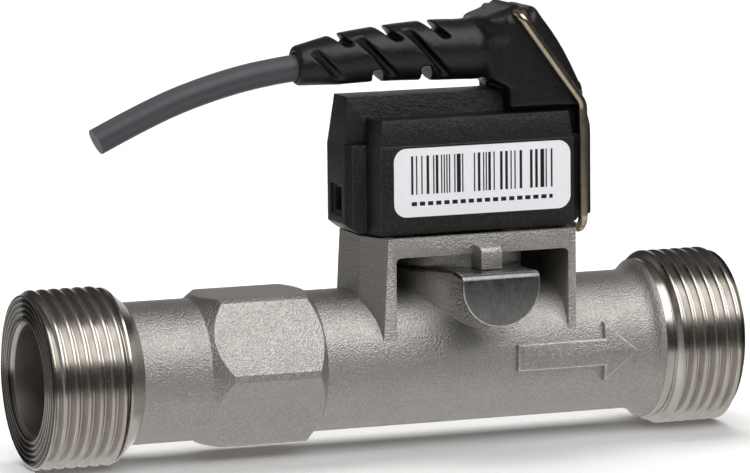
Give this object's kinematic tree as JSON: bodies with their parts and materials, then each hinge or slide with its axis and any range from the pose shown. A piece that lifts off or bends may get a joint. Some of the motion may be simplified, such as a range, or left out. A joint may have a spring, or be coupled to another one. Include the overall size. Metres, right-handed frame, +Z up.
{
  "type": "inline water flow sensor",
  "caption": "Cast pipe section with threaded ends and a spanner hexagon, carrying a clipped-in sensor head, a plug with a ribbed boot and cable, and a wire bail that locks the plug.",
  "frame": {"origin": "centre of the inlet's end face, on the pipe's axis", "axes": "+X along the pipe with the flow, +Z up to the sensor head, -Y to the side with the label and the flow arrow"},
  "size_m": [0.11, 0.0304, 0.0656],
  "materials": {
    "cast_steel": "warm grey cast stainless steel, finely grained, with turned thread ends",
    "turned_steel": "turned stainless steel",
    "stem_plastic": "glass-filled black plastic",
    "ceramic_chip": "white ceramic",
    "tinned_copper": "tinned wire",
    "seal_rubber": "smooth black rubber",
    "spring_sheet": "smooth grey spring steel sheet",
    "housing_plastic": "finely textured black plastic",
    "cover_plastic": "finely textured black plastic",
    "board_laminate": "green coated laminate",
    "component_plastic": "moulded black plastic",
    "contact_brass": "plated brass",
    "overmould_plastic": "soft black overmould, lightly grained",
    "insert_plastic": "moulded black plastic",
    "wire_insulation": "coloured thin insulation",
    "spring_wire": "bright drawn spring wire with a warm tint",
    "label_film": "white printed film",
    "cable_jacket": "slate grey jacket"
  },
  "bodies": {
    "sensor": {"pipe_body": "cast_steel", "bluff_body": "turned_steel", "sensor_stem": "stem_plastic", "sensing_tip": "stem_plastic", "sensor_chip": "ceramic_chip", "sensor_leads": "tinned_copper", "stem_o_ring": "seal_rubber", "retaining_clip": "spring_sheet", "housing": "housing_plastic", "housing_cover": "cover_plastic", "circuit_board": "board_laminate", "board_components": "component_plastic", "pin_header": "component_plastic", "connector_pins": "contact_brass", "plug_body": "overmould_plastic", "plug_insert": "insert_plastic", "plug_contacts": "contact_brass", "plug_seal": "seal_rubber", "conductors": "wire_insulation", "label": "label_film", "cable": "cable_jacket"},
    "bail": {"bail_wire": "spring_wire"}
  },
  "joints": [
    {"name": "bail_swing", "type": "hinge", "parent": "sensor", "child": "bail", "pos_m": [0.07565, 0, 0.05097], "axis": [0, -1, 0], "range_deg": [0, 115]}
  ]
}
